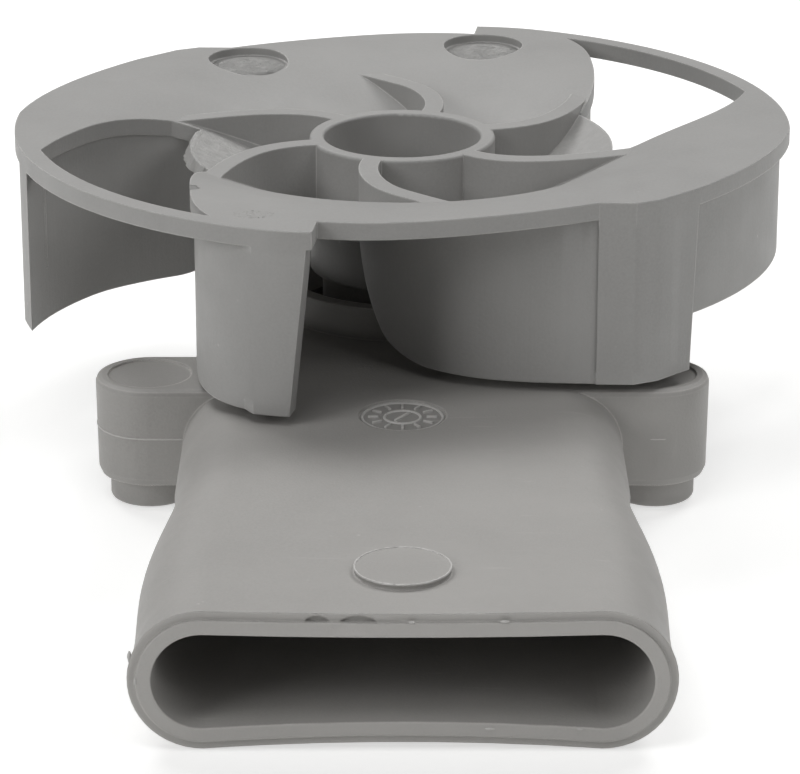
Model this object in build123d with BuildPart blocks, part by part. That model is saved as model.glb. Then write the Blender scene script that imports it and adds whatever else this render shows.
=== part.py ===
from build123d import *
import os
from math import atan2, cos, radians, sin, tan

os.makedirs("parts", exist_ok=True)

# Water feed duct with a spinning spray rotor. Millimetres, +Z up. The origin lies midway between
# the two locating spigots, in the plane of the lug shoulders they stand on. The duct's mouth faces
# -Y and the rotor turns about a vertical axis behind the lugs.

# Duct body
seat_to_top = 14.2
axis_y = 31.6
neck_half_width = 29.8
neck_height = 16.0
neck_front_y = -27.0
mouth_half_width = 32.3
mouth_height = 17.6
mouth_y = -81.4
flare = [(-38.0, 0.06, 0.06), (-48.0, 0.62, 0.6), (-60.0, 0.97, 0.95)]
mouth_sag_top = 0.35
mouth_sag_bottom = 0.85
wall = 2.0
mouth_wall = 2.8
lip_step = 1.0
lip_out = 0.5

# Lugs with their locating spigots
lug_x = 34.6
lug_r = 7.4
lug_taper = 0.15
lug_reach = 14.0
lug_top_round = 0.8
lug_foot_round = 1.3
spigot_r = 5.7
spigot_length = mouth_height - seat_to_top
spigot_round = 0.7
lug_recess_r = 5.7
lug_recess_depth = 0.3

# Outlet collar and the post the rotor runs on
collar_r = 18.6
collar_wall = 2.0
collar_height = 4.7
post_r = 11.5
post_wall = 2.2
prong_wall = 1.9
prong_slot = 2.2
prong_slot_depth = 9.0
head_overlap = 0.8
head_height = 2.6

# Marks on the duct's top
disc_mark_r = 5.85
stamp_y = -16.4
stamp_depth = 0.35
button_y = -69.0
button_rise = 0.45
nicks = [(-10.0, 2.9), (-5.2, 4.4)]
nick_depth = 0.3
nick_rise = 0.8

# Rotor, measured from its axis and downwards from the top of its rim
rotor_r = 55.0
rotor_gap = 1.4
vane_depth = 25.6
rim_width = 2.6
rim_height = 2.5
plate_t = 2.4
hub_top = 2.2
hub_r = 13.25
hub_wall = 2.1
hub_depth = 21.5
bearing_r = 9.0
bearing_depth = 13.5
cone_angle = 27.0
bowl_r = 35.0
bowl_edge_r = 45.3
bowl_floor_r = 30.0
vane_t = 2.7
skirt_t = 2.2
skirt_depth = 18.2
rim_start = -4.0
rim_end = 77.5
rim_tail = 69.0
rim_end_drop = 0.8
end_slant = 2.5
nose_slant = 1.2
hub_round = 0.45
recess_r = 6.0
recess_depth = 1.2
recess_places = [(4.1, 124.4), (1.6, 73.5)]
eye_top_r = 19.6
eye_top_gap = 0.5
eye_r = 27.2
foot_rise = 3.4

# Clearances between rotor and duct
run_clearance = 0.1
end_clearance = 0.4

top_z = seat_to_top
rim_z = top_z + rotor_gap + vane_depth
hub_foot_z = rim_z - hub_depth
bearing_top_z = rim_z - bearing_depth
rotor_axis = Axis((0, axis_y, 0), (0, 0, 1))


def across(y, centre_z):
    """Vertical plane square to the duct, seen from its mouth."""
    return Plane(origin=(0, y, centre_z), x_dir=(1, 0, 0), z_dir=(0, -1, 0))


def oval(half_width, height, sag_top=0.0, sag_bottom=0.0):
    """Round-ended oval whose long sides may sag towards each other."""
    r = height / 2
    a = half_width - r
    with BuildSketch() as shape:
        with BuildLine():
            if sag_top:
                ThreePointArc((-a, r), (0, r - sag_top), (a, r))
            else:
                Line((-a, r), (a, r))
            ThreePointArc((a, r), (half_width, 0), (a, -r))
            if sag_bottom:
                ThreePointArc((a, -r), (0, sag_bottom - r), (-a, -r))
            else:
                Line((a, -r), (-a, -r))
            ThreePointArc((-a, -r), (-half_width, 0), (-a, r))
        make_face()
    return shape.sketch


def half_oval(half_width, height):
    """Right half of the oval, for the duct's round end."""
    r = height / 2
    a = half_width - r
    with BuildSketch() as shape:
        with BuildLine():
            Polyline((a, -r), (0, -r), (0, r), (a, r))
            ThreePointArc((a, r), (half_width, 0), (a, -r))
        make_face()
    return shape.sketch


def duct_form(inset, mouth_inset, overrun):
    """Solid duct shape, made smaller all round by the inset."""
    width = neck_half_width - inset
    height = neck_height - 2 * inset
    centre = top_z - neck_height / 2
    with BuildPart() as form:
        with BuildSketch(across(neck_front_y, centre)):
            add(oval(width, height))
        extrude(amount=neck_front_y - axis_y)
        with BuildSketch(across(axis_y, centre)):
            add(half_oval(width, height))
        revolve(axis=rotor_axis, revolution_arc=180)
        with BuildSketch(across(neck_front_y, centre)):
            add(oval(width, height))
        for y, wide, tall in flare:
            grow = (mouth_half_width - neck_half_width) * wide
            rise = (mouth_height - neck_height) * tall
            step = inset + (mouth_inset - inset) * wide
            with BuildSketch(across(y, top_z - (neck_height + rise) / 2)):
                sag = 0.5 * tall
                add(
                    oval(
                        neck_half_width + grow - step,
                        neck_height + rise - 2 * step,
                        mouth_sag_top * sag,
                        mouth_sag_bottom * sag,
                    )
                )
        with BuildSketch(across(mouth_y, top_z - mouth_height / 2)) as face:
            add(
                oval(
                    mouth_half_width - mouth_inset,
                    mouth_height - 2 * mouth_inset,
                    mouth_sag_top,
                    mouth_sag_bottom,
                )
            )
        loft()
        if overrun:
            extrude(face.sketch, amount=overrun)
    return form.part


def lug_form(side, inset):
    """Plan of one lug: a round end joined to the duct's flank."""
    with BuildSketch() as shape:
        with Locations((side * lug_x, 0)):
            Circle(lug_r - inset)
        with Locations((side * (lug_x - lug_reach / 2), 0)):
            Rectangle(lug_reach, 2 * (lug_r - inset))
    return shape.sketch


def lug_levels():
    """Heights and insets of a lug's sections: rounded top edge, slight taper, rounded foot."""
    bend = 1 - cos(radians(45))
    return [
        (top_z, lug_top_round),
        (top_z - bend * lug_top_round, bend * lug_top_round),
        (top_z - lug_top_round, 0),
        (lug_foot_round, lug_taper),
        (bend * lug_foot_round, lug_taper + bend * lug_foot_round),
        (0, lug_taper + lug_foot_round),
    ]


with BuildPart() as duct_body:
    add(duct_form(0, 0, 0))
    # Inner lip standing proud of the mouth's stepped edge
    with BuildSketch(across(mouth_y, top_z - mouth_height / 2)):
        add(
            oval(
                mouth_half_width - lip_step,
                mouth_height - 2 * lip_step,
                mouth_sag_top,
                mouth_sag_bottom,
            )
        )
    extrude(amount=lip_out)
    # Lugs, tapering a little towards their shoulders
    for side in (-1, 1):
        for z, inset in lug_levels():
            with BuildSketch(Plane.XY.offset(z)):
                add(lug_form(side, inset))
        loft(ruled=True)
    with BuildSketch(Plane.XY):
        with Locations((-lug_x, 0), (lug_x, 0)):
            Circle(spigot_r)
    extrude(amount=-spigot_length)
    spigot_feet = edges().filter_by(GeomType.CIRCLE).group_by(Axis.Z)[0]
    fillet(spigot_feet.filter_by(lambda e: abs(e.radius - spigot_r) < 0.01), spigot_round)
    # Outlet collar round the post
    with BuildSketch(Plane.XY.offset(top_z - wall)):
        with Locations((0, axis_y)):
            Circle(collar_r)
    extrude(amount=wall + collar_height)
    # The water way: the hollow of the duct and the round outlet
    add(duct_form(wall, mouth_wall, 2 * lip_out), mode=Mode.SUBTRACT)
    with BuildSketch(Plane.XY.offset(top_z - neck_height / 2)):
        with Locations((0, axis_y)):
            Circle(collar_r - collar_wall)
    extrude(amount=neck_height, mode=Mode.SUBTRACT)
    # Post with a thrust shoulder, a running journal and a snap head
    with BuildSketch(across(axis_y, 0)):
        with BuildLine():
            Polyline(
                (0, top_z - neck_height + wall / 2),
                (post_r, top_z - neck_height + wall / 2),
                (post_r, hub_foot_z - end_clearance),
                (bearing_r - run_clearance, hub_foot_z - end_clearance),
                (bearing_r - run_clearance, bearing_top_z + end_clearance),
                (bearing_r + head_overlap, bearing_top_z + end_clearance),
                (bearing_r + head_overlap, bearing_top_z + end_clearance + 0.6),
                (bearing_r - 0.9, bearing_top_z + end_clearance + head_height),
                (0, bearing_top_z + end_clearance + head_height),
                close=True,
            )
        make_face()
    revolve(axis=rotor_axis)
    # The post is hollow from below and, as four springy prongs, from above
    prong_top = bearing_top_z + end_clearance + head_height
    with BuildSketch(Plane.XY.offset(top_z - neck_height)):
        with Locations((0, axis_y)):
            Circle(post_r - post_wall)
    extrude(amount=hub_foot_z - end_clearance - post_wall - top_z + neck_height, mode=Mode.SUBTRACT)
    with BuildSketch(Plane.XY.offset(prong_top)):
        with Locations((0, axis_y)):
            Circle(bearing_r - run_clearance - prong_wall)
    extrude(amount=hub_foot_z - prong_top, mode=Mode.SUBTRACT)
    with BuildSketch(Plane.XY.offset(prong_top)):
        with Locations((0, axis_y)):
            Rectangle(3 * bearing_r, prong_slot)
            Rectangle(prong_slot, 3 * bearing_r)
    extrude(amount=-prong_slot_depth, mode=Mode.SUBTRACT)
    # Shallow round recess on each lug
    with BuildSketch(Plane.XY.offset(top_z)):
        with Locations((-lug_x, 0), (lug_x, 0)):
            Circle(lug_recess_r)
    extrude(amount=-lug_recess_depth, mode=Mode.SUBTRACT)
    # Round moulding marks: a bare sunk disc near the rotor, a raised button near the mouth
    with BuildSketch(Plane.XY.offset(top_z)):
        with Locations((0, stamp_y)):
            Circle(disc_mark_r)
    extrude(amount=-stamp_depth, mode=Mode.SUBTRACT)
    with BuildSketch(Plane.XY.offset(top_z - wall / 2)):
        with Locations((0, button_y)):
            Circle(disc_mark_r)
    extrude(amount=wall / 2 + button_rise)
    # Two nicks knocked out of the mouth's stepped top edge
    for x, width in nicks:
        with BuildSketch(across(mouth_y, top_z - lip_step - mouth_sag_top)):
            with BuildLine():
                arch = ThreePointArc((x - width / 2, 0), (x, nick_rise), (x + width / 2, 0))
                Line(arch @ 1, arch @ 0)
            make_face()
        extrude(amount=-nick_depth, mode=Mode.SUBTRACT)

duct_body.part.label = "duct_body"
export_step(duct_body.part, "parts/duct_body.step")


def polar(r, angle):
    return (r * cos(radians(angle)), r * sin(radians(angle)))


# Plan of the rotor as shares of its radius. It is symmetric under a half turn, so each path is used
# twice. The vanes run from the hub outwards: the first ends in a wall along the rim, the second in
# the blunt nose, the third carries the straight edge of the plate.
def plan(*points):
    return [(x * rotor_r, y * rotor_r) for x, y in points]


def at_rim(share, angle):
    return polar(share * rotor_r, angle)


hub_start_r = hub_r - hub_wall / 3
vane_rim = [polar(hub_start_r, -162)] + plan(
    (-0.295, -0.093), (-0.358, -0.135), (-0.411, -0.204), (-0.453, -0.295), (-0.484, -0.418),
    (-0.487, -0.573), (-0.471, -0.715), (-0.422, -0.827), (-0.333, -0.898), (-0.220, -0.929),
)
vane_nose = [polar(hub_start_r, -109)] + plan(
    (-0.085, -0.325), (-0.065, -0.416), (-0.029, -0.484), (0.022, -0.538), (0.091, -0.600),
    (0.178, -0.653), (0.295, -0.685), (0.500, -0.700),
)
nose_face = [at_rim(0.869, -57)] + plan((0.564, -0.731), (0.625, -0.702), (0.725, -0.605))
nose_inside = plan((0.691, -0.570), (0.593, -0.649), (0.465, -0.667))
vane_edge = [polar(hub_start_r, -44)] + plan(
    (0.251, -0.211), (0.375, -0.216), (0.498, -0.184), (0.635, -0.127), (0.713, -0.078),
    (0.796, -0.011), (0.871, 0.089), (0.927, 0.196), (0.975, 0.364),
)
skirt_path = [at_rim(0.902, -40), at_rim(0.933, -20), at_rim(0.960, 0), at_rim(0.955, 14)]
rim_end_r = rotor_r - rim_end_drop

with BuildSketch() as plate_plan:
    with BuildLine():
        tongue = Spline(
            plan((-0.478, -0.280), (-0.518, -0.425), (-0.520, -0.582), (-0.500, -0.736), (-0.449, -0.849))
        )
        outer = ThreePointArc(tongue @ 1, at_rim(0.975, -110), polar(rim_end_r, rim_end - 180))
        notch = Line(outer @ 1, at_rim(0.902, -103))
        front = Spline(
            notch @ 1, at_rim(0.885, -90), at_rim(0.862, -76), at_rim(0.860, -66), nose_face[0]
        )
        nose = Polyline(*nose_face)
        side = Spline(nose @ 1, at_rim(0.951, -31), at_rim(0.973, -18), polar(rotor_r, rim_start))
        rim = ThreePointArc(side @ 1, polar(rotor_r, 4), polar(rotor_r, 12))
        back = Spline(
            plan(
                (0.922, 0.327), (0.891, 0.213), (0.838, 0.109), (0.769, 0.015), (0.689, -0.055),
                (0.605, -0.111),
            )
        )
        Line(rim @ 1, back @ 0)
        Polyline(back @ 1, polar(0.9 * bowl_floor_r, -17), (0, 0), tongue @ 0)
    make_face()

with BuildPart() as bowl:
    # Dished shell: a cone round the hub that flattens in one arc into the rim's plane
    tip_r = hub_r - hub_wall / 2
    run = bowl_r * sin(radians(cone_angle))
    rise = bowl_r * (1 - cos(radians(cone_angle)))
    knee = (bowl_edge_r - run, -rise)
    tip = (tip_r, -rise - (knee[0] - tip_r) * sin(radians(cone_angle)) / cos(radians(cone_angle)))
    with BuildSketch(Plane.XZ):
        with BuildLine():
            slope = Line(tip, knee)
            curve = TangentArc(knee, (bowl_edge_r, 0), tangent=slope % 1)
            Polyline(
                (bowl_edge_r, 0), (rotor_r, 0), (rotor_r, -plate_t), (bowl_edge_r, -plate_t)
            )
            low = TangentArc(
                (knee[0], knee[1] - plate_t), (bowl_edge_r, -plate_t), tangent=slope % 1
            )
            Polyline(low @ 0, (tip[0], tip[1] - plate_t), tip)
        make_face()
    revolve(axis=Axis.Z)
    with BuildSketch(Plane.XY.offset(-rotor_r)):
        Circle(bowl_floor_r)
        with PolarLocations(0, 2):
            add(plate_plan.sketch)
    extrude(amount=2 * rotor_r, mode=Mode.INTERSECT)
    # Two round recesses on one plate, with level floors that run out towards the hub
    with BuildSketch(Plane.XY.offset(-recess_depth)):
        with Locations(*[polar(bowl_edge_r - inwards, angle) for inwards, angle in recess_places]):
            Circle(recess_r)
    extrude(amount=2 * recess_depth, mode=Mode.SUBTRACT)


def rim_tail_arc(turn):
    """Last stretch of the rim's outer edge, where it draws in a little, turned about the axis."""
    return ThreePointArc(
        polar(rotor_r, rim_tail + turn),
        polar(rotor_r - rim_end_drop / 3, (rim_tail + rim_end) / 2 + turn),
        polar(rim_end_r, rim_end + turn),
    )


with BuildPart() as arm:
    # Vanes, flush with the hub's top
    with BuildSketch(Plane.XY.offset(-hub_top)):
        for path in (vane_rim, vane_nose, vane_edge):
            with BuildLine():
                Spline(*path)
            trace(line_width=vane_t)
        # Blunt nose, flush with the plate's corner
        with BuildLine():
            Polyline(*nose_face, *nose_inside, close=True)
        make_face()
        Circle(rotor_r, mode=Mode.INTERSECT)
    extrude(amount=hub_top - vane_depth)
    # Towards its end the wall along the rim comes out flush with the rim's edge
    with BuildSketch(Plane.XY.offset(-rim_height)):
        with BuildLine():
            flush = rim_tail_arc(-180)
            Polyline(flush @ 1, vane_rim[-1], vane_rim[-2], vane_rim[-3], flush @ 0)
        make_face()
    extrude(amount=rim_height - vane_depth)
    # Both walls end in a slant, longest at the top
    rim_wall_end = (polar(rotor_r - 4, rim_end - 180.8), rim_end - 90.8, end_slant)
    nose_wall_end = (nose_face[-1], 44.0, nose_slant)
    for corner, heading, slant in (rim_wall_end, nose_wall_end):
        wall_end = Plane(
            origin=(*corner, 0), x_dir=(*polar(1, heading), 0), z_dir=(*polar(1, heading - 90), 0)
        )
        with BuildSketch(wall_end):
            with BuildLine():
                Polyline(
                    (0, -rim_height), (4, -rim_height), (4, -vane_depth - 1), (-slant, -vane_depth - 1),
                    close=True,
                )
            make_face()
        extrude(amount=6, both=True, mode=Mode.SUBTRACT)
    # Thin rim bridging the open window
    with BuildSketch():
        with BuildLine():
            start = ThreePointArc(polar(rotor_r, rim_start), polar(rotor_r, 30), polar(rotor_r, rim_tail))
            tail = rim_tail_arc(0)
            inner = ThreePointArc(
                polar(rotor_r - rim_width, rim_end - 2),
                polar(rotor_r - rim_width, 40),
                polar(rotor_r - rim_width, rim_start),
            )
            Line(tail @ 1, inner @ 0)
            Line(inner @ 1, start @ 0)
        make_face()
    extrude(amount=-rim_height)
    # Short skirt from the nose round the plate's free side
    with BuildSketch(Plane.XY.offset(-plate_t / 2)):
        with BuildLine():
            Spline(*skirt_path)
        trace(line_width=skirt_t)
    extrude(amount=plate_t / 2 - skirt_depth)

with BuildPart() as rotor_form:
    add(bowl.part)
    with PolarLocations(0, 2):
        add(arm.part)
    # Conical eye under the bowl that clears the outlet collar, its foot rounded into the vanes' edges
    eye_top = (eye_top_r, knee[1] - plate_t - (knee[0] - eye_top_r) * tan(radians(cone_angle)) - eye_top_gap)
    eye_low = (eye_r, foot_rise - vane_depth)
    steep = atan2(eye_top[1] - eye_low[1], eye_r - eye_top_r)
    foot_r = eye_r + foot_rise / tan(steep) + foot_rise / sin(steep)
    with BuildSketch(Plane.XZ):
        with BuildLine():
            cone = Line(eye_top, eye_low)
            TangentArc(eye_low, (foot_r, -vane_depth), tangent=cone % 1)
            Polyline(
                (foot_r, -vane_depth),
                (foot_r, -vane_depth - 1),
                (0, -vane_depth - 1),
                (0, tip[1] - plate_t - 6),
                eye_top,
            )
        make_face()
    revolve(axis=Axis.Z, mode=Mode.SUBTRACT)
    # Hub tube with a clear upper bore and a narrower running bore below it
    with BuildSketch(Plane.XZ):
        with BuildLine():
            Polyline(
                (hub_r - hub_wall, -hub_top - hub_round),
                (hub_r - hub_wall, -bearing_depth),
                (bearing_r, -bearing_depth),
                (bearing_r, -hub_depth),
                (hub_r, -hub_depth),
                (hub_r, -hub_top - hub_round),
            )
            crown = Line((hub_r - hub_round, -hub_top), (hub_r - hub_wall + hub_round, -hub_top))
            RadiusArc((hub_r, -hub_top - hub_round), crown @ 0, -hub_round)
            RadiusArc(crown @ 1, (hub_r - hub_wall, -hub_top - hub_round), -hub_round)
        make_face()
    revolve(axis=Axis.Z)

with BuildPart() as spray_rotor:
    with Locations((0, axis_y, rim_z)):
        add(rotor_form.part)

spray_rotor.part.label = "spray_rotor"
export_step(spray_rotor.part, "parts/spray_rotor.step")
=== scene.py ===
import bpy
import math
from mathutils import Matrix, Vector


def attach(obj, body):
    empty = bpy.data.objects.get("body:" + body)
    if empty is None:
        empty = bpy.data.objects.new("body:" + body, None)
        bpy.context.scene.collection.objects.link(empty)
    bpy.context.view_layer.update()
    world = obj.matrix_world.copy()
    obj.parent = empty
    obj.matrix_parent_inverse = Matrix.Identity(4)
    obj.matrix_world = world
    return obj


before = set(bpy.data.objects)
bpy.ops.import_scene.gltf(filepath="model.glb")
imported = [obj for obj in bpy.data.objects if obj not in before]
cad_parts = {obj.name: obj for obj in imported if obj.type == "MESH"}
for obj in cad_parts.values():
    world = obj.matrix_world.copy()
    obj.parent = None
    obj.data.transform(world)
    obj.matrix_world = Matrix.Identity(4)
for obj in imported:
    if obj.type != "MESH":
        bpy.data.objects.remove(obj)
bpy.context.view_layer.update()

# Places on the solids, in metres
AXIS_Y = 0.0316
RIM_Z = 0.0412
TOP_Z = 0.0142
FOOT_Z = -0.0034
LIP_Y = -0.0819
LUG_X = 0.0346
DIAL_Y = -0.0164
DIAL_FLOOR_Z = TOP_Z - 0.00035
BUTTON_Y = -0.069
BUTTON_RISE = 0.00045
DISH_R = 0.030
DISH_Z = RIM_Z - 0.00352
DISH_SLOPE = math.radians(25.9)

# The rotor's round recesses, by reach from its axis and bearing in degrees
RECESSES = ((0.0412, 124.4), (0.0437, 73.5))
RECESS_DEPTH = 0.0012

# The rotor's two tall walls, measured from its axis and the top of its rim; the spans have soft ends
RIM_WALL_CENTRE = (-0.0071, -0.0334)
TALL_WALL_SPAN = (-0.0246, -0.0236, -0.0036, -0.0028)
NOSE_WALL_SPAN = (0.021, 0.024, 0.036, 0.0375)

# The dish beside its open windows, measured in the same way
TORN_REACH_SPAN = (0.0165, 0.0195, 0.0315, 0.0330)
TORN_DEPTH_SPAN = (-0.0125, -0.0115, -0.0030, -0.0024)

# Marks of moulding and wear
LUG_BEAD_R = 0.00731
LUG_BEAD_Z = 0.00725
LUG_BEAD_FLANK = 0.0062
BUTTON_BEAD_R = 0.00579
GATE_SCAR = (-0.0196, AXIS_Y - 0.0453, RIM_Z)
GATE_SCAR_SHEET = (0.0058, 0.0034, 1.0)
GATE_SCAR_HALF = (0.0028, 0.0016)
EDGE_CHIP = (-0.0285, -0.0013, RIM_Z - 0.0003)

# The studio: the place that all softboxes look at, and their distance and width
STUDIO_MIDDLE = Vector((0, -0.01, 0.02))
SOFTBOX_DISTANCE = 1.2
SOFTBOX_WIDTH = 0.5

# Greys of the two mouldings, of thin flash, whose pale grey is also a painted highlight on the beads and
# dial marks, and of the torn gate
DUCT_GREY = (0.376, 0.366, 0.352)
ROTOR_GREY = (0.372, 0.367, 0.358)
FLASH_AND_HIGHLIGHT_GREY = (0.56, 0.55, 0.535)
SCAR_GREY = (0.345, 0.338, 0.328)


def shade(tone, factor):
    """A lighter or darker version of a grey."""
    return tuple(factor * c for c in tone)


def clear_selection():
    if bpy.context.mode != "OBJECT":
        bpy.ops.object.mode_set(mode="OBJECT")
    bpy.ops.object.select_all(action="DESELECT")


class Finish:
    """A node material under construction: short names for the nodes a moulding's surface needs."""

    def __init__(self, name):
        self.material = bpy.data.materials.new(name)
        self.material.use_nodes = True
        self.tree = self.material.node_tree
        self.tree.nodes.clear()
        self.shader = self.tree.nodes.new("ShaderNodeBsdfPrincipled")
        out = self.tree.nodes.new("ShaderNodeOutputMaterial")
        self.join(self.shader.outputs["BSDF"], out.inputs["Surface"])
        self.place = self.tree.nodes.new("ShaderNodeTexCoord").outputs["Object"]

    def join(self, a, b):
        self.tree.links.new(a, b)

    def split(self, vector):
        """A vector's X, Y and Z."""
        parts = self.tree.nodes.new("ShaderNodeSeparateXYZ")
        self.join(vector, parts.inputs["Vector"])
        return parts.outputs["X"], parts.outputs["Y"], parts.outputs["Z"]

    def true_face(self):
        """The face's own normal, without smoothing."""
        return self.tree.nodes.new("ShaderNodeNewGeometry").outputs["True Normal"]

    def noise(self, scale, detail=3.0, rough=0.55, stretch=None):
        """Cloudy pattern from 0 to 1, drawn out along an axis where stretch is given."""
        node = self.tree.nodes.new("ShaderNodeTexNoise")
        node.inputs["Scale"].default_value = scale
        node.inputs["Detail"].default_value = detail
        node.inputs["Roughness"].default_value = rough
        if stretch:
            lay = self.tree.nodes.new("ShaderNodeMapping")
            lay.inputs["Scale"].default_value = stretch
            self.join(self.place, lay.inputs["Vector"])
            self.join(lay.outputs["Vector"], node.inputs["Vector"])
        else:
            self.join(self.place, node.inputs["Vector"])
        return node.outputs["Fac"]

    def band(self, value, low, high, to_low=0.0, to_high=1.0):
        """Carries a value from one range over to another, and holds it at the ends."""
        node = self.tree.nodes.new("ShaderNodeMapRange")
        node.inputs["From Min"].default_value = low
        node.inputs["From Max"].default_value = high
        node.inputs["To Min"].default_value = to_low
        node.inputs["To Max"].default_value = to_high
        self.join(value, node.inputs["Value"])
        return node.outputs["Result"]

    def calc(self, operation, a, b=0):
        """One sum on sockets or plain numbers."""
        node = self.tree.nodes.new("ShaderNodeMath")
        node.operation = operation
        for socket, value in zip(node.inputs, (a, b)):
            if isinstance(value, (int, float)):
                socket.default_value = value
            else:
                self.join(value, socket)
        return node.outputs["Value"]

    def mix(self, share, a, b):
        """A share of colour b over colour a."""
        node = self.tree.nodes.new("ShaderNodeMix")
        node.data_type = "RGBA"
        colours = [s for s in node.inputs if s.type == "RGBA"]
        for socket, value in zip(colours, (a, b)):
            if isinstance(value, tuple):
                socket.default_value = (*value, 1.0)
            else:
                self.join(value, socket)
        factor = [s for s in node.inputs if s.type == "VALUE"][0]
        self.join(share, factor)
        return [s for s in node.outputs if s.type == "RGBA"][0]

    def soft_edges(self, radius):
        """The normal with every edge rounded off by a radius."""
        node = self.tree.nodes.new("ShaderNodeBevel")
        node.samples = 4
        node.inputs["Radius"].default_value = radius
        return node.outputs["Normal"]

    def facing(self):
        """The way a face looks, as X, Y and Z."""
        return self.split(self.true_face())

    def upright(self):
        """1 on walls, 0 on level faces."""
        return self.band(self.calc("ABSOLUTE", self.facing()[2]), 0.35, 0.2)

    def bump(self, height, distance, strength, normal=None):
        """The normal of a surface that a pattern raises."""
        node = self.tree.nodes.new("ShaderNodeBump")
        node.inputs["Distance"].default_value = distance
        node.inputs["Strength"].default_value = strength
        self.join(height, node.inputs["Height"])
        if normal is not None:
            self.join(normal, node.inputs["Normal"])
        return node.outputs["Normal"]

    def specks(self, scale, size):
        """Small round dots, in some places only."""
        node = self.tree.nodes.new("ShaderNodeTexVoronoi")
        node.inputs["Scale"].default_value = scale
        self.join(self.place, node.inputs["Vector"])
        few = self.band(self.noise(scale * 0.6, 1.0), 0.62, 0.68)
        return self.calc("MULTIPLY", few, self.band(node.outputs["Distance"], size, 0.4 * size))

    def rotor_place(self):
        """Position measured from the rotor's axis and the top of its rim, as X, Y and Z."""
        centred = self.tree.nodes.new("ShaderNodeMapping")
        centred.inputs["Location"].default_value = (0, -AXIS_Y, -RIM_Z)
        self.join(self.place, centred.inputs["Vector"])
        return self.split(centred.outputs["Vector"])

    def dish_windows(self):
        """1 on the dish between the ribs beside each open window, 0 elsewhere."""
        x, y, z = self.rotor_place()
        across = self.calc("ABSOLUTE", x)
        along = self.calc("ABSOLUTE", y)
        sector = self.band(self.calc("SUBTRACT", self.calc("MULTIPLY", across, 0.62), along), -0.0005, 0.001)
        beyond = self.calc("MULTIPLY", y, self.calc("MULTIPLY", self.calc("SIGN", x), -1.0))
        sector = self.calc("MULTIPLY", sector, self.band(beyond, 0.0088, 0.0078))
        level = self.band(self.facing()[2], 0.6, 0.75)
        ring = self.calc("MULTIPLY", self.within(across, *TORN_REACH_SPAN), level)
        return self.calc("MULTIPLY", self.calc("MULTIPLY", sector, ring), self.within(z, *TORN_DEPTH_SPAN))

    def spot(self, centre, radius, ragged=0.0):
        """1 within a radius of one place, with an uneven edge if ragged."""
        node = self.tree.nodes.new("ShaderNodeVectorMath")
        node.operation = "DISTANCE"
        self.join(self.place, node.inputs[0])
        node.inputs[1].default_value = centre
        away = node.outputs["Value"]
        if ragged:
            away = self.calc("ADD", away, self.band(self.noise(900.0, 3.0, 0.7), 0.2, 0.8, -ragged, ragged))
        return self.band(away, radius, 0.8 * radius)

    def vector(self, operation, *values):
        """One sum on vectors: SCALE by a number, NORMALIZE or DOT_PRODUCT."""
        node = self.tree.nodes.new("ShaderNodeVectorMath")
        node.operation = operation
        second = node.inputs["Scale"] if operation == "SCALE" else node.inputs[1]
        for socket, value in zip((node.inputs[0], second), values):
            self.join(value, socket)
        return node.outputs["Value"] if operation == "DOT_PRODUCT" else node.outputs["Vector"]

    def level_vector(self, x, y):
        """A vector that lies level."""
        node = self.tree.nodes.new("ShaderNodeCombineXYZ")
        self.join(x, node.inputs["X"])
        self.join(y, node.inputs["Y"])
        return node.outputs["Vector"]

    def turned_to(self, direction, space, other):
        """A normal carried from one space to another, so that it goes round with the rotor."""
        node = self.tree.nodes.new("ShaderNodeVectorTransform")
        node.vector_type = "NORMAL"
        node.convert_from = space
        node.convert_to = other
        self.join(direction, node.inputs["Vector"])
        return node.outputs["Vector"]

    def blend_normals(self, share, a, b):
        """A share of normal b over normal a."""
        node = self.tree.nodes.new("ShaderNodeMix")
        node.data_type = "VECTOR"
        self.join(share, node.inputs["Factor"])
        sockets = [socket for socket in node.inputs if socket.type == "VECTOR" and socket.name in ("A", "B")]
        self.join(a, sockets[0])
        self.join(b, sockets[1])
        return [socket for socket in node.outputs if socket.type == "VECTOR"][0]

    def within(self, value, rise_from, rise_to, fall_from, fall_to):
        """1 between two bounds of a value, with soft ends."""
        rise = self.band(value, rise_from, rise_to)
        fall = self.band(value, fall_to, fall_from)
        return self.calc("MULTIPLY", rise, fall)

    def edge_share(self, rounded):
        """1 along edges, where the eased normal leaves the face's own."""
        face = self.tree.nodes.new("ShaderNodeNewGeometry").outputs["Normal"]
        return self.band(self.vector("DOT_PRODUCT", rounded, face), 0.985, 0.85)


def plastic_tone(finish, tone):
    """Satin grey filled plastic: cloudy tone, fine grain and a few pale specks."""
    finish.patch = finish.noise(170.0, 3.0)
    finish.fine = finish.noise(2600.0, 2.0, 0.6)
    dark = shade(tone, 0.92)
    light = shade(tone, 1.08)
    colour = finish.mix(finish.band(finish.noise(38.0, 4.0), 0.3, 0.7), dark, light)
    colour = finish.mix(finish.band(finish.patch, 0.35, 0.75, 0.0, 0.35), colour, dark)
    colour = finish.mix(finish.band(finish.fine, 0.3, 0.7, 0.0, 0.6), colour, light)
    speck = finish.specks(330.0, 0.1)
    finish.colour = finish.mix(finish.calc("MULTIPLY", speck, 0.6), colour, shade(tone, 1.5))
    finish.join(finish.band(finish.patch, 0.3, 0.7, 0.48, 0.6), finish.shader.inputs["Roughness"])
    finish.shader.inputs["Specular IOR Level"].default_value = 0.45


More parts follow.
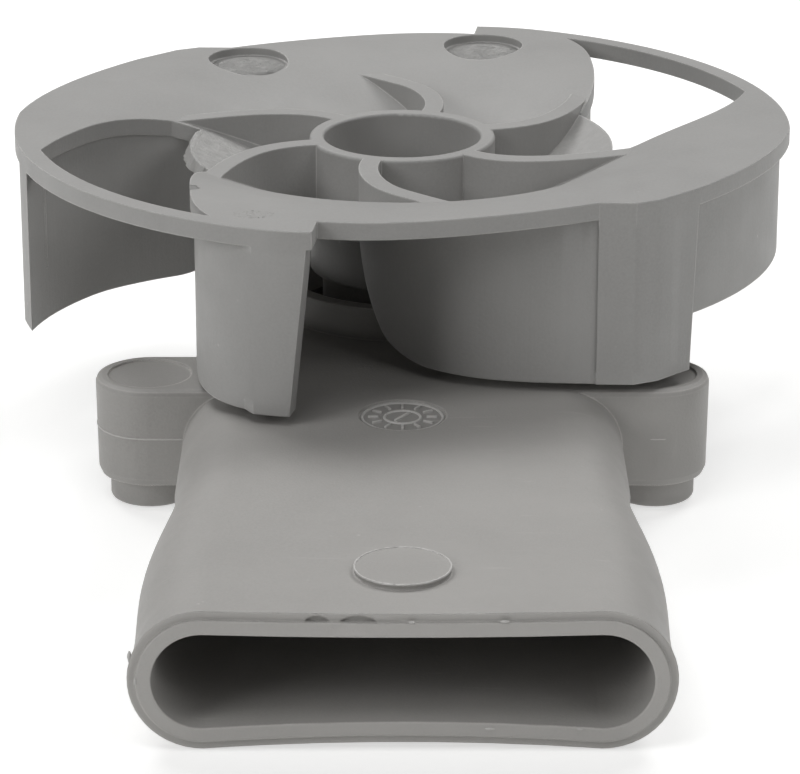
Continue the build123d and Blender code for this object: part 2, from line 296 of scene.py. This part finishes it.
def grey_moulding(finish, tone, edge_radius, grain, ease=None):
    """The plastic of the two mouldings, with every edge eased and lightened, partly as worn edges and partly
    as painted highlight.
    """
    plastic_tone(finish, tone)
    rounded = finish.soft_edges(edge_radius)
    uneven = finish.band(finish.patch, 0.3, 0.7, 0.5, 1.0)
    # Edges are lightened towards a pale grey: partly worn edges, partly a painted highlight standing in for
    # the glints along them
    wear_and_highlight = finish.calc("MULTIPLY", finish.edge_share(rounded), uneven)
    if ease:
        rounded, share = ease(finish, rounded)
        wear_and_highlight = finish.calc("MULTIPLY", wear_and_highlight, finish.calc("SUBTRACT", 1.0, share))
    finish.colour = finish.mix(wear_and_highlight, finish.colour, shade(tone, 2.1))
    wavy = finish.bump(finish.noise(420.0, 2.0), 0.0004, 0.06, rounded)
    finish.normal = finish.bump(finish.fine, 0.0001, grain, wavy)


def shed_plastic(name, tone):
    """The thin plastic of flash and scars, without eased edges."""
    finish = Finish(name)
    plastic_tone(finish, tone)
    finish.normal = finish.bump(finish.fine, 0.0001, 0.3)
    return close_finish(finish)


def close_finish(finish):
    """Joins the finished colour and normal to the shader and gives the material."""
    finish.join(finish.colour, finish.shader.inputs["Base Color"])
    finish.join(finish.normal, finish.shader.inputs["Normal"])
    return finish.material


def duct_moulding():
    """The duct's grey, with painted light on the mouth's front, painted shade in the sunk disc and faint
    pale scratches.
    """
    finish = Finish("duct_grey_moulding")
    grey_moulding(finish, DUCT_GREY, edge_radius=0.00045, grain=0.4)
    along = finish.split(finish.place)[1]
    # Painted light: the lip's forward-facing faces are lightened towards a pale grey, which the scratches
    # below also use
    forward = finish.band(finish.facing()[1], -0.6, -0.9)
    mouth = finish.calc("MULTIPLY", finish.band(along, LIP_Y + 0.0016, LIP_Y + 0.0008), forward)
    lit_lip_and_scratch_grey = shade(DUCT_GREY, 1.45)
    finish.colour = finish.mix(finish.calc("MULTIPLY", mouth, 0.4), finish.colour, lit_lip_and_scratch_grey)
    # Painted shade: the floor of the sunk disc is darkened
    sunk = finish.spot((0, DIAL_Y, DIAL_FLOOR_Z), radius=0.0062)
    finish.colour = finish.mix(finish.calc("MULTIPLY", sunk, 0.6), finish.colour, shade(DUCT_GREY, 0.72))
    scratch = finish.band(finish.noise(1.0, 2.0, 0.5, (75.0, 900.0, 75.0)), 0.66, 0.70)
    scratch = finish.calc("MULTIPLY", scratch, finish.band(finish.noise(60.0, 2.0), 0.5, 0.62, 0.0, 0.3))
    finish.colour = finish.mix(scratch, finish.colour, lit_lip_and_scratch_grey)
    return close_finish(finish)


def eased_walls(finish, normal):
    """Blends the normals where the rotor's two tall walls come out flush, so that each turns as one face."""
    x, y, z = finish.rotor_place()
    half = finish.calc("MULTIPLY", finish.calc("SIGN", y), -1.0)
    across = finish.calc("MULTIPLY", x, half)
    along = finish.calc("MULTIPLY", y, half)
    face = finish.vector("SCALE", finish.turned_to(finish.true_face(), "WORLD", "OBJECT"), half)
    tall = finish.within(z, *TALL_WALL_SPAN)

    # The wall along the rim, turned about its own centre
    aside = finish.calc("SUBTRACT", across, RIM_WALL_CENTRE[0])
    ahead = finish.calc("SUBTRACT", along, RIM_WALL_CENTRE[1])
    rim_way = finish.vector("NORMALIZE", finish.level_vector(aside, ahead))
    rim_wall = finish.band(finish.vector("DOT_PRODUCT", face, rim_way), 0.1, 0.4)
    rim_wall = finish.calc("MULTIPLY", rim_wall, finish.band(across, -0.0105, -0.0135))
    rim_wall = finish.calc("MULTIPLY", rim_wall, finish.band(along, -0.036, -0.040))

    # The wall that ends in the nose, straight and then bent at the nose's corner
    bend = finish.band(across, 0.0300, 0.0352)
    sideways = finish.band(bend, 0.0, 1.0, -0.03, 0.69)
    forwards = finish.band(bend, 0.0, 1.0, -1.0, -0.72)
    nose_way = finish.vector("NORMALIZE", finish.level_vector(sideways, forwards))
    nose = finish.band(finish.vector("DOT_PRODUCT", face, nose_way), -0.3, 0.1)
    nose = finish.calc("MULTIPLY", nose, finish.within(across, *NOSE_WALL_SPAN))
    nose = finish.calc("MULTIPLY", nose, finish.band(along, -0.034, -0.036))

    way = finish.blend_normals(nose, rim_way, nose_way)
    way = finish.turned_to(finish.vector("SCALE", way, half), "OBJECT", "WORLD")
    share = finish.calc("MULTIPLY", finish.calc("MAXIMUM", rim_wall, nose), tall)
    return finish.vector("NORMALIZE", finish.blend_normals(share, normal, way)), share


def rotor_moulding():
    """The rotor's grey, with drawn walls, the dish's torn paler skin, pitted recesses and a chipped edge
    darkened with painted shade.
    """
    pale = shade(ROTOR_GREY, 1.5)
    finish = Finish("rotor_grey_moulding")
    grey_moulding(finish, ROTOR_GREY, edge_radius=0.00036, grain=0.3, ease=eased_walls)
    drag = finish.calc("MULTIPLY", finish.noise(1.0, 3.0, 0.6, (700.0, 700.0, 22.0)), finish.upright())
    finish.normal = finish.bump(drag, 0.0003, 0.16, finish.normal)
    ragged = finish.noise(700.0, 5.0, 0.7)
    uneven = finish.band(finish.split(finish.place)[0], 0.001, -0.001, 0.3, 1.0)
    torn = finish.calc("MULTIPLY", finish.dish_windows(), uneven)
    skin = finish.calc("MULTIPLY", torn, finish.band(ragged, 0.35, 0.7, 0.15, 0.9))
    finish.colour = finish.mix(skin, finish.colour, pale)
    finish.normal = finish.bump(finish.calc("MULTIPLY", torn, ragged), 0.0009, 0.8, finish.normal)
    pits = finish.noise(520.0, 4.0, 0.7)
    for reach, angle in RECESSES:
        a = math.radians(angle)
        floor = (reach * math.cos(a), AXIS_Y + reach * math.sin(a), RIM_Z - RECESS_DEPTH)
        pitted = finish.calc("MULTIPLY", finish.spot(floor, radius=0.0056), pits)
        finish.normal = finish.bump(pitted, 0.0022, 1.0, finish.normal)
        finish.colour = finish.mix(finish.band(pitted, 0.48, 0.66, 0.0, 0.7), finish.colour, pale)
    # The chip is a bumped dent, darkened with painted shade in its hollow
    chip_dent_and_shade = finish.spot(EDGE_CHIP, radius=0.0013, ragged=0.0006)
    finish.colour = finish.mix(finish.calc("MULTIPLY", chip_dent_and_shade, 0.55), finish.colour, shade(ROTOR_GREY, 0.45))
    finish.normal = finish.bump(finish.calc("SUBTRACT", 1.0, chip_dent_and_shade), 0.0008, 0.8, finish.normal)
    return close_finish(finish)


duct_finish = duct_moulding()
rotor_finish = rotor_moulding()
flash_and_highlight_finish = shed_plastic("flash_and_highlight_plastic", FLASH_AND_HIGHLIGHT_GREY)
scar_finish = shed_plastic("torn_gate_plastic", SCAR_GREY)

for node, finish in (("duct_body", duct_finish), ("spray_rotor", rotor_finish)):
    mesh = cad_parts[node].data
    mesh.materials.clear()
    mesh.materials.append(finish)


def settle(piece, name, body, finish):
    """Gives a finished piece its name, its surface and the body that carries it."""
    clear_selection()
    piece.select_set(True)
    bpy.context.view_layer.objects.active = piece
    bpy.ops.object.transform_apply(location=True, rotation=True, scale=True)
    bpy.ops.object.shade_smooth_by_angle(angle=math.radians(40))
    piece.name = name
    piece.data.name = name
    piece.data.materials.clear()
    piece.data.materials.append(finish)
    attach(piece, body)


def pick_vertices(piece, wanted):
    """Selects the vertices for which wanted(position) holds and goes into edit mode."""
    bpy.ops.object.mode_set(mode="EDIT")
    bpy.ops.mesh.select_mode(type="VERT")
    bpy.ops.mesh.select_all(action="DESELECT")
    bpy.ops.object.mode_set(mode="OBJECT")
    for v in piece.data.vertices:
        v.select = wanted(piece.matrix_world @ v.co)
    bpy.ops.object.mode_set(mode="EDIT")


def thicken(piece, depth):
    """Gives a sheet its thickness, away from its outer face."""
    bpy.ops.object.modifier_add(type="SOLIDIFY")
    piece.modifiers[-1].thickness = depth
    piece.modifiers[-1].offset = -1.0
    bpy.ops.object.modifier_apply(modifier=piece.modifiers[-1].name)


def roughen(offset, seed):
    """Moves every vertex of the active piece a little at random."""
    bpy.ops.object.mode_set(mode="EDIT")
    bpy.ops.mesh.select_all(action="SELECT")
    bpy.ops.transform.vertex_random(offset=offset, seed=seed)
    bpy.ops.object.mode_set(mode="OBJECT")


def bead_ring(centre, ring_r, bead_r, rough, seed):
    """Fine raised bead round a centre, a little uneven, as a mould's joint leaves it."""
    clear_selection()
    bpy.ops.mesh.primitive_torus_add(
        location=centre, major_radius=ring_r, minor_radius=bead_r, major_segments=144, minor_segments=6
    )
    ring = bpy.context.active_object
    roughen(rough, seed)
    return ring


def left_parting_bead():
    """Parting line round the left lug, drawn out along its straight flanks into the duct."""
    bead = bead_ring((-LUG_X, 0, LUG_BEAD_Z), LUG_BEAD_R, bead_r=0.00012, rough=0.00003, seed=4)
    pick_vertices(bead, lambda p: p.x > -LUG_X)
    bpy.ops.transform.translate(value=(LUG_BEAD_FLANK, 0, 0))
    bpy.ops.object.mode_set(mode="OBJECT")
    return bead


def right_parting_bead():
    """Short stretch of parting line left on the front of the right lug, tapering out at both ends."""
    bead = bead_ring((LUG_X, 0, LUG_BEAD_Z), LUG_BEAD_R, bead_r=0.0001, rough=0.00003, seed=4)
    front = -0.0066
    middle = 0.034
    half = 0.0019
    pick_vertices(bead, lambda p: p.y > front or abs(p.x - middle) > half)
    bpy.ops.mesh.delete(type="VERT")
    bpy.ops.mesh.select_all(action="SELECT")
    bpy.ops.mesh.region_to_loop()
    bpy.ops.mesh.edge_collapse()
    bpy.ops.object.mode_set(mode="OBJECT")
    return bead


def button_bead():
    """Uneven flash round the top edge of the raised button."""
    top = (0, BUTTON_Y, TOP_Z + BUTTON_RISE - 0.00002)
    return bead_ring(top, BUTTON_BEAD_R, bead_r=0.00015, rough=0.00006, seed=7)


def join_pieces(pieces):
    """Makes one mesh of several."""
    clear_selection()
    for piece in pieces:
        piece.select_set(True)
    bpy.context.view_layer.objects.active = pieces[0]
    bpy.ops.object.join()
    return bpy.context.active_object


def plain_dial():
    """Raised plain dial in the sunk disc: two fine rings, twelve strokes and a pointer."""
    centre = (0, DIAL_Y, DIAL_FLOOR_Z)
    marks = [
        bead_ring(centre, ring_r=0.00535, bead_r=0.0002, rough=0.00002, seed=3),
        bead_ring(centre, ring_r=0.0024, bead_r=0.0002, rough=0.00002, seed=5),
    ]
    # Reach from the centre, turn and size of each stroke, and of the pointer last
    strokes = [(0.0039, math.radians(30 * hour), (0.0014, 0.00034, 0.00055)) for hour in range(12)]
    strokes.append((0.0, math.radians(58), (0.0036, 0.00045, 0.00055)))
    for reach, turn, size in strokes:
        spot = (reach * math.cos(turn), DIAL_Y + reach * math.sin(turn), DIAL_FLOOR_Z)
        clear_selection()
        bpy.ops.mesh.primitive_cube_add(size=1.0, location=spot, rotation=(0, 0, turn), scale=size)
        stroke = bpy.context.active_object
        bpy.ops.object.transform_apply(location=False, rotation=False, scale=True)
        bpy.ops.object.mode_set(mode="EDIT")
        bpy.ops.mesh.select_all(action="SELECT")
        bpy.ops.mesh.bevel(offset=0.00008, segments=2, affect="EDGES")
        bpy.ops.object.mode_set(mode="OBJECT")
        marks.append(stroke)
    return join_pieces(marks)


def mouth_flakes():
    """Shreds of moulding flash left along the mouth's lip."""
    # Place across, along and up, then width and height
    shreds = (
        (-0.0319, LIP_Y + 0.0008, 0.0082, 0.0005, 0.0016), (-0.0313, LIP_Y, 0.0055, 0.0003, 0.0010),
        (0.01185, LIP_Y, 0.0131, 0.0011, 0.0003), (0.00106, LIP_Y, 0.0130, 0.0008, 0.0003),
        (0.0102, LIP_Y, -0.0006, 0.0012, 0.0003), (0.0208, LIP_Y, -0.0006, 0.0009, 0.0003),
    )
    thin = 0.0003
    flakes = []
    for count, (x, y, z, wide, tall) in enumerate(shreds):
        clear_selection()
        bpy.ops.mesh.primitive_ico_sphere_add(
            subdivisions=3, radius=0.5, location=(x, y, z), scale=(wide, thin, tall)
        )
        bpy.ops.object.transform_apply(location=False, rotation=False, scale=True)
        roughen(offset=0.00006, seed=20 + count)
        flakes.append(bpy.context.active_object)
    return join_pieces(flakes)


def dish_edge_flash(first, last, reach, seed):
    """Ragged moulding flash along the dish's open edge between two bearings in degrees."""
    clear_selection()
    inset = 0.0005
    pivot = (0, AXIS_Y, DISH_Z)
    bpy.ops.mesh.primitive_circle_add(vertices=720, radius=DISH_R - inset, location=pivot)
    strip = bpy.context.active_object
    middle = math.radians((first + last) / 2)
    half = math.radians((last - first) / 2)
    toward = Vector((math.cos(middle), math.sin(middle), 0))

    def outside(p):
        arm = Vector((p.x, p.y - AXIS_Y, 0))
        return arm.angle(toward) > half

    pick_vertices(strip, outside)
    bpy.ops.mesh.delete(type="VERT")
    bpy.ops.mesh.select_all(action="SELECT")
    bpy.ops.transform.translate(value=(0, 0, -inset * math.tan(DISH_SLOPE)))
    # Out to the edge in an even step, and past it in a ragged one
    for step, rough in ((inset + 0.6 * reach, 0.00002), (0.0004 + 0.4 * reach, 0.0003)):
        bpy.ops.mesh.extrude_edges_move()
        grow = 1 + step / DISH_R
        bpy.ops.transform.resize(value=(grow, grow, 1), center_override=pivot)
        bpy.ops.transform.translate(value=(0, 0, step * math.tan(DISH_SLOPE)))
        bpy.ops.transform.vertex_random(offset=rough, seed=seed)
        bpy.ops.mesh.vertices_smooth(factor=0.5, repeat=2)
    bpy.ops.object.mode_set(mode="OBJECT")
    if sum(face.normal.z for face in strip.data.polygons) < 0:
        bpy.ops.object.mode_set(mode="EDIT")
        bpy.ops.mesh.select_all(action="SELECT")
        bpy.ops.mesh.flip_normals()
        bpy.ops.object.mode_set(mode="OBJECT")
    thicken(strip, depth=0.0019)
    return strip


def gate_scar():
    """Low rough oval on the tongue where the moulding's gate was twisted off."""
    clear_selection()
    bpy.ops.mesh.primitive_grid_add(x_subdivisions=56, y_subdivisions=34, size=1.0, location=GATE_SCAR)
    scar = bpy.context.active_object
    scar.scale = GATE_SCAR_SHEET
    bpy.ops.object.transform_apply(location=False, rotation=False, scale=True)

    def off_the_oval(p):
        across = (p.x - GATE_SCAR[0]) / GATE_SCAR_HALF[0]
        along = (p.y - GATE_SCAR[1]) / GATE_SCAR_HALF[1]
        return math.hypot(across, along) > 1.0

    pick_vertices(scar, off_the_oval)
    bpy.ops.mesh.delete(type="VERT")
    bpy.ops.mesh.select_all(action="SELECT")
    bpy.ops.transform.translate(value=(0, 0, -0.00002))
    bpy.ops.transform.vertex_random(offset=0.0003, seed=31)
    bpy.ops.mesh.vertices_smooth(factor=0.5, repeat=2)
    bpy.ops.object.mode_set(mode="OBJECT")
    thicken(scar, depth=0.0003)
    return scar


def pale_floor():
    """Wide plain sheet under the spigots, white to the camera with the part's soft shadow kept."""
    clear_selection()
    bpy.ops.mesh.primitive_plane_add(size=8.0, location=(0, 0, FOOT_Z - 0.0002))
    floor = bpy.context.active_object
    floor.name = "pale_floor"
    paper = bpy.data.materials.new("pale_floor_paper")
    paper.use_nodes = True
    tree = paper.node_tree
    tree.nodes.clear()
    out = tree.nodes.new("ShaderNodeOutputMaterial")
    path = tree.nodes.new("ShaderNodeLightPath")
    matt = tree.nodes.new("ShaderNodeBsdfDiffuse")
    matt.inputs["Color"].default_value = (0.66, 0.66, 0.65, 1)

    # What the part gets back from the sheet
    shine = tree.nodes.new("ShaderNodeEmission")
    shine.inputs["Strength"].default_value = 0.25
    bounce = tree.nodes.new("ShaderNodeAddShader")
    tree.links.new(matt.outputs["BSDF"], bounce.inputs[0])
    tree.links.new(shine.outputs["Emission"], bounce.inputs[1])

    # What the camera and reflections see of it
    glow = tree.nodes.new("ShaderNodeEmission")
    glow.inputs["Strength"].default_value = 0.55
    seen = tree.nodes.new("ShaderNodeAddShader")
    tree.links.new(matt.outputs["BSDF"], seen.inputs[0])
    tree.links.new(glow.outputs["Emission"], seen.inputs[1])
    eye = tree.nodes.new("ShaderNodeMath")
    eye.operation = "MAXIMUM"
    tree.links.new(path.outputs["Is Camera Ray"], eye.inputs[0])
    tree.links.new(path.outputs["Is Glossy Ray"], eye.inputs[1])
    pick = tree.nodes.new("ShaderNodeMixShader")
    tree.links.new(eye.outputs["Value"], pick.inputs["Fac"])
    tree.links.new(bounce.outputs["Shader"], pick.inputs[1])
    tree.links.new(seen.outputs["Shader"], pick.inputs[2])
    tree.links.new(pick.outputs["Shader"], out.inputs["Surface"])
    floor.data.materials.append(paper)


def studio_light():
    """Five softboxes round the part and a faint white surround that the camera sees as white."""
    world = bpy.data.worlds.new("studio_white")
    bpy.context.scene.world = world
    world.use_nodes = True
    tree = world.node_tree
    tree.nodes.clear()
    out = tree.nodes.new("ShaderNodeOutputWorld")
    fill = tree.nodes.new("ShaderNodeBackground")
    fill.inputs["Color"].default_value = (1, 1, 1, 1)
    fill.inputs["Strength"].default_value = 0.05
    seen = tree.nodes.new("ShaderNodeBackground")
    seen.inputs["Color"].default_value = (1, 1, 1, 1)
    path = tree.nodes.new("ShaderNodeLightPath")
    pick = tree.nodes.new("ShaderNodeMixShader")
    tree.links.new(path.outputs["Is Camera Ray"], pick.inputs["Fac"])
    tree.links.new(fill.outputs["Background"], pick.inputs[1])
    tree.links.new(seen.outputs["Background"], pick.inputs[2])
    tree.links.new(pick.outputs["Shader"], out.inputs["Surface"])

    # Softboxes by bearing from the camera's side, height angle and power
    lamps = (
        ("back_left_softbox", -140, 50, 5.2),
        ("back_right_softbox", 140, 50, 5.4),
        ("high_front_softbox", -30, 72, 2.9),
        ("front_left_softbox", -55, 28, 3.4),
        ("front_right_softbox", 55, 35, 2.0),
    )
    for name, bearing, height, power in lamps:
        turn = math.radians(bearing)
        rise = math.radians(height)
        level = math.cos(rise)
        away = Vector((level * math.sin(turn), -level * math.cos(turn), math.sin(rise)))
        clear_selection()
        bpy.ops.object.light_add(type="AREA", location=STUDIO_MIDDLE + SOFTBOX_DISTANCE * away)
        lamp = bpy.context.active_object
        lamp.name = name
        lamp.rotation_euler = away.to_track_quat("Z", "Y").to_euler()
        lamp.data.size = SOFTBOX_WIDTH
        lamp.data.energy = power


def photo_camera():
    """The photo's own view: from the mouth's side, 20 degrees down, through a long lens."""
    clear_selection()
    bpy.ops.object.camera_add(location=(-0.00033, -0.4717, 0.1845), rotation=(math.radians(69.93), 0, 0))
    camera = bpy.context.active_object
    camera.name = "photo_camera"
    camera.data.sensor_width = 36.0
    camera.data.sensor_fit = "HORIZONTAL"
    camera.data.lens = 164.8
    camera.data.clip_start = 0.01
    bpy.context.scene.camera = camera


# The beads take the pale flash grey, which is partly a painted highlight along their ridges
settle(left_parting_bead(), "left_lug_parting_bead", "duct", flash_and_highlight_finish)
settle(right_parting_bead(), "right_lug_parting_bead", "duct", flash_and_highlight_finish)
settle(button_bead(), "button_edge_flash", "duct", flash_and_highlight_finish)
# The dial's raised marks take the pale flash grey as a painted highlight on the strokes and rings
settle(plain_dial(), "plain_dial_marks", "duct", flash_and_highlight_finish)
settle(mouth_flakes(), "mouth_flash_flakes", "duct", flash_and_highlight_finish)
dish_strip = dish_edge_flash(first=168, last=204, reach=0.00012, seed=11)
settle(dish_strip, "dish_edge_flash", "rotor", rotor_finish)
settle(gate_scar(), "tongue_gate_scar", "rotor", scar_finish)

pale_floor()
studio_light()
photo_camera()

bpy.context.scene.view_settings.view_transform = "Standard"
